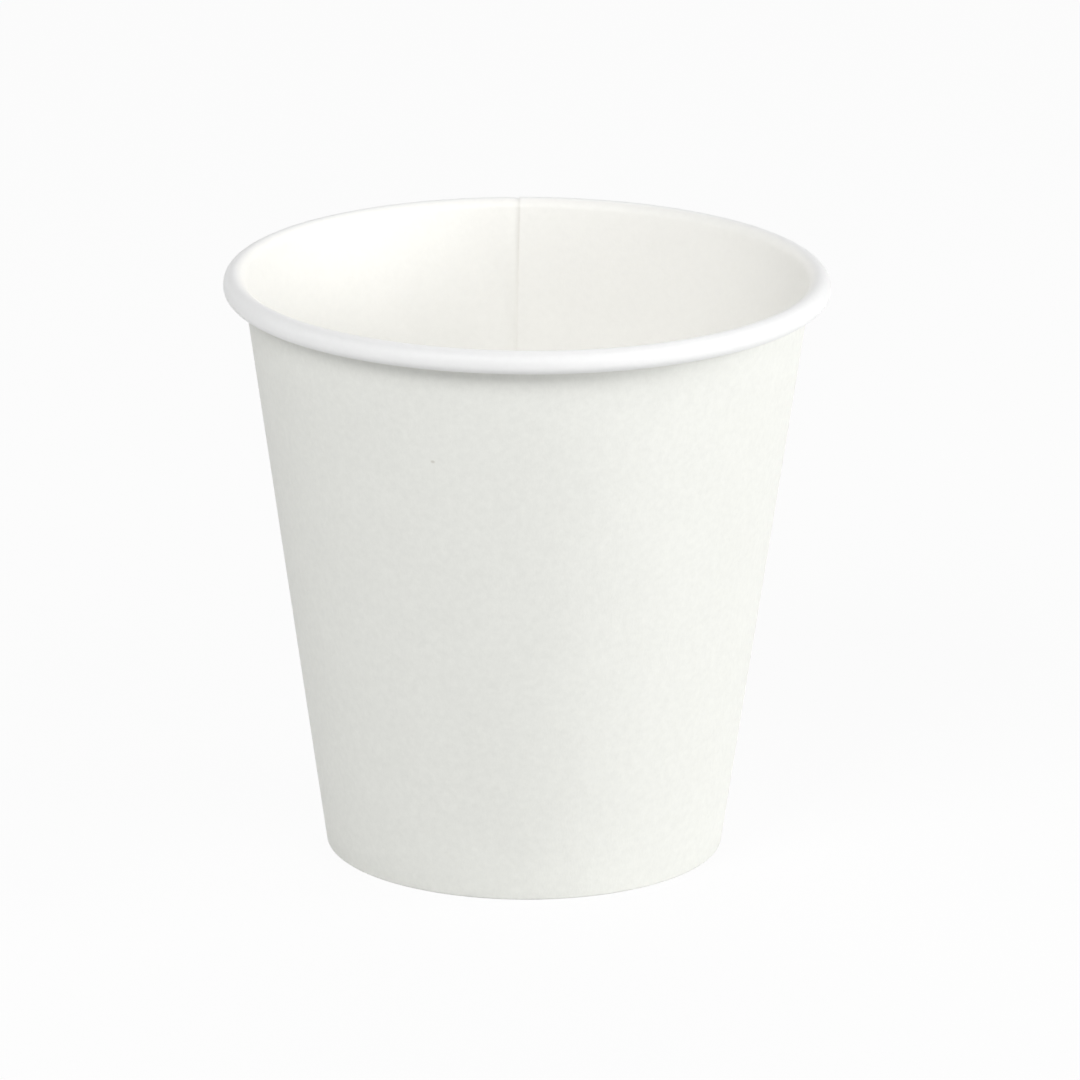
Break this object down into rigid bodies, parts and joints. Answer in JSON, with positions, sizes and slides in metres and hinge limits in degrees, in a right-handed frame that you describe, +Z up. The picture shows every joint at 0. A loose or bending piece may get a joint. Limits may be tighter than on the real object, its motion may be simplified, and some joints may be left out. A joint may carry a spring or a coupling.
{
  "type": "paper coffee cup",
  "caption": "Open, tapered single-wall paper cup with a rolled rim, a lapped side seam and a flat bottom set up inside its folded foot.",
  "frame": {"origin": "centre of the foot, on the surface that the cup stands on", "axes": "+Z up along the cup's axis; +Y towards the side seam, at the back of the picture"},
  "size_m": [0.09, 0.09, 0.088],
  "materials": {
    "wall_paper": "matte",
    "bottom_paper": "matte"
  },
  "bodies": {
    "root": {"side_wall": "wall_paper", "bottom_disc": "bottom_paper"}
  },
  "joints": []
}
